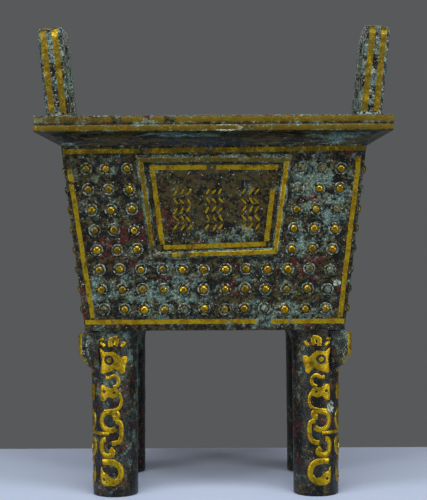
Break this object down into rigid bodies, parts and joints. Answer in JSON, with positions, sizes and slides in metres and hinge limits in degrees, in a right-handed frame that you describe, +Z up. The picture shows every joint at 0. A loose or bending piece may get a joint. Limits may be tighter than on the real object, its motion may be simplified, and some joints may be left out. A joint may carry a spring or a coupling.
{
  "type": "rectangular bronze ding",
  "caption": "Open rectangular bronze cauldron on round legs with upright ears, rows of bosses and a framed tablet on each wall.",
  "frame": {"origin": "on the ground at the centre of the whole vessel's footprint, midway between the feet", "axes": "+Z up; X along the vessel's length, through both ears; -Y is the front with the inscribed tablet"},
  "size_m": [0.1984, 0.143, 0.2598],
  "materials": {
    "bronze": "dark patinated cast bronze with worn gilding, verdigris and brown stains"
  },
  "bodies": {
    "root": {"vessel": "bronze"}
  },
  "joints": []
}
